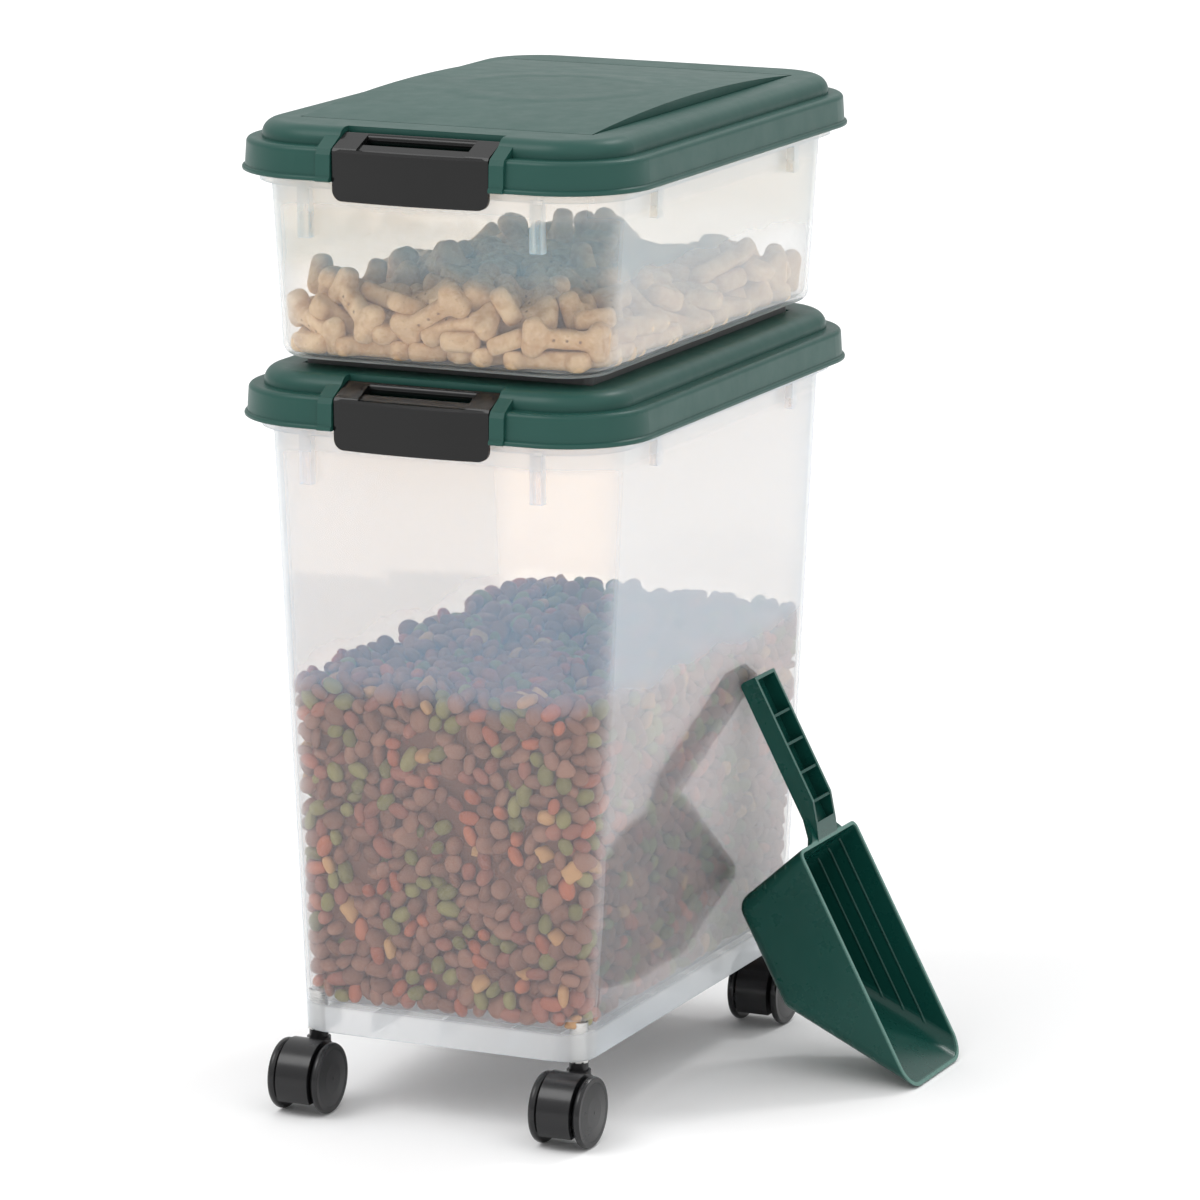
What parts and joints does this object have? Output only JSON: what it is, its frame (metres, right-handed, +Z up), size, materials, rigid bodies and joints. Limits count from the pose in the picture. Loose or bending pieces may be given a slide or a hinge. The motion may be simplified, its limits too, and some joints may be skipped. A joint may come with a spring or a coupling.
{
  "type": "pet food bin",
  "caption": "Rolling translucent food bin with a latched green lid, a stacked latched treat box, casters under the corners and a food scoop.",
  "frame": {"origin": "on the floor, under the centre of the whole set's box (bin, treat box and leaning scoop)", "axes": "+X across the short side towards the scoop, +Y from the latches to the hinges, +Z up"},
  "size_m": [0.385, 0.4314, 0.6464],
  "materials": {
    "clear_plastic": "satin",
    "green_plastic": "satin",
    "charcoal_plastic": "gloss",
    "caster_plastic": "satin",
    "seal_rubber": "matte",
    "steel": "satin",
    "kibble": "matte",
    "biscuit": "matte"
  },
  "bodies": {
    "bin": {"bin_body": "clear_plastic", "bin_hinge_pins": "steel", "kibble": "kibble", "socket_front_left": "steel", "socket_front_right": "steel", "socket_rear_left": "steel", "socket_rear_right": "steel"},
    "bin_lid": {"bin_lid": "green_plastic", "bin_lid_gasket": "seal_rubber", "bin_latch_pin": "steel"},
    "bin_latch": {"bin_latch": "charcoal_plastic"},
    "treat_box": {"treat_box_body": "clear_plastic", "treat_box_base": "charcoal_plastic", "treat_box_hinge_pins": "steel", "biscuits": "biscuit"},
    "treat_box_lid": {"treat_box_lid": "green_plastic", "treat_box_lid_gasket": "seal_rubber", "treat_box_latch_pin": "steel"},
    "treat_box_latch": {"treat_box_latch": "charcoal_plastic"},
    "scoop": {"scoop": "green_plastic"},
    "caster_front_left": {"stem_front_left": "steel", "hood_front_left": "caster_plastic", "axle_front_left": "steel"},
    "wheel_left_front_left": {"wheel_left_front_left": "caster_plastic"},
    "wheel_right_front_left": {"wheel_right_front_left": "caster_plastic"},
    "caster_front_right": {"stem_front_right": "steel", "hood_front_right": "caster_plastic", "axle_front_right": "steel"},
    "wheel_left_front_right": {"wheel_left_front_right": "caster_plastic"},
    "wheel_right_front_right": {"wheel_right_front_right": "caster_plastic"},
    "caster_rear_left": {"stem_rear_left": "steel", "hood_rear_left": "caster_plastic", "axle_rear_left": "steel"},
    "wheel_left_rear_left": {"wheel_left_rear_left": "caster_plastic"},
    "wheel_right_rear_left": {"wheel_right_rear_left": "caster_plastic"},
    "caster_rear_right": {"stem_rear_right": "steel", "hood_rear_right": "caster_plastic", "axle_rear_right": "steel"},
    "wheel_left_rear_right": {"wheel_left_rear_right": "caster_plastic"},
    "wheel_right_rear_right": {"wheel_right_rear_right": "caster_plastic"}
  },
  "joints": [
    {"name": "bin_lid_hinge", "type": "hinge", "parent": "bin", "child": "bin_lid", "pos_m": [-0.0545, 0.21135, 0.456], "axis": [-1, 0, 0], "range_deg": [0, 105]},
    {"name": "bin_latch_hinge", "type": "hinge", "parent": "bin_lid", "child": "bin_latch", "pos_m": [-0.0545, -0.19105, 0.4772], "axis": [-1, 0, 0], "range_deg": [0, 75]},
    {"name": "treat_box_lift", "type": "slide", "parent": "bin_lid", "child": "treat_box", "axis": [0, 0, 1], "range_m": [0, 0.25]},
    {"name": "treat_box_lid_hinge", "type": "hinge", "parent": "treat_box", "child": "treat_box_lid", "pos_m": [-0.0545, 0.21135, 0.612], "axis": [-1, 0, 0], "range_deg": [0, 105]},
    {"name": "treat_box_latch_hinge", "type": "hinge", "parent": "treat_box_lid", "child": "treat_box_latch", "pos_m": [-0.0545, -0.19105, 0.6332], "axis": [-1, 0, 0], "range_deg": [0, 75]},
    {"name": "scoop_lift", "type": "slide", "parent": "bin", "child": "scoop", "axis": [0.6, 0, 0.8], "range_m": [0, 0.3]},
    {"name": "swivel_front_left", "type": "hinge", "parent": "bin", "child": "caster_front_left", "pos_m": [-0.1465, -0.16215, 0.052], "axis": [0, 0, 1], "continuous": true},
    {"name": "wheel_spin_left_front_left", "type": "hinge", "parent": "caster_front_left", "child": "wheel_left_front_left", "pos_m": [-0.1595, -0.17865, 0.023], "axis": [1, 0, 0], "continuous": true},
    {"name": "wheel_spin_right_front_left", "type": "hinge", "parent": "caster_front_left", "child": "wheel_right_front_left", "pos_m": [-0.1335, -0.17865, 0.023], "axis": [1, 0, 0], "continuous": true},
    {"name": "swivel_front_right", "type": "hinge", "parent": "bin", "child": "caster_front_right", "pos_m": [0.0375, -0.16215, 0.052], "axis": [0, 0, 1], "continuous": true},
    {"name": "wheel_spin_left_front_right", "type": "hinge", "parent": "caster_front_right", "child": "wheel_left_front_right", "pos_m": [0.0245, -0.17865, 0.023], "axis": [1, 0, 0], "continuous": true},
    {"name": "wheel_spin_right_front_right", "type": "hinge", "parent": "caster_front_right", "child": "wheel_right_front_right", "pos_m": [0.0505, -0.17865, 0.023], "axis": [1, 0, 0], "continuous": true},
    {"name": "swivel_rear_left", "type": "hinge", "parent": "bin", "child": "caster_rear_left", "pos_m": [-0.1465, 0.15485, 0.052], "axis": [0, 0, 1], "continuous": true},
    {"name": "wheel_spin_left_rear_left", "type": "hinge", "parent": "caster_rear_left", "child": "wheel_left_rear_left", "pos_m": [-0.1595, 0.13835, 0.023], "axis": [1, 0, 0], "continuous": true},
    {"name": "wheel_spin_right_rear_left", "type": "hinge", "parent": "caster_rear_left", "child": "wheel_right_rear_left", "pos_m": [-0.1335, 0.13835, 0.023], "axis": [1, 0, 0], "continuous": true},
    {"name": "swivel_rear_right", "type": "hinge", "parent": "bin", "child": "caster_rear_right", "pos_m": [0.0375, 0.15485, 0.052], "axis": [0, 0, 1], "continuous": true},
    {"name": "wheel_spin_left_rear_right", "type": "hinge", "parent": "caster_rear_right", "child": "wheel_left_rear_right", "pos_m": [0.0245, 0.13835, 0.023], "axis": [1, 0, 0], "continuous": true},
    {"name": "wheel_spin_right_rear_right", "type": "hinge", "parent": "caster_rear_right", "child": "wheel_right_rear_right", "pos_m": [0.0505, 0.13835, 0.023], "axis": [1, 0, 0], "continuous": true}
  ]
}
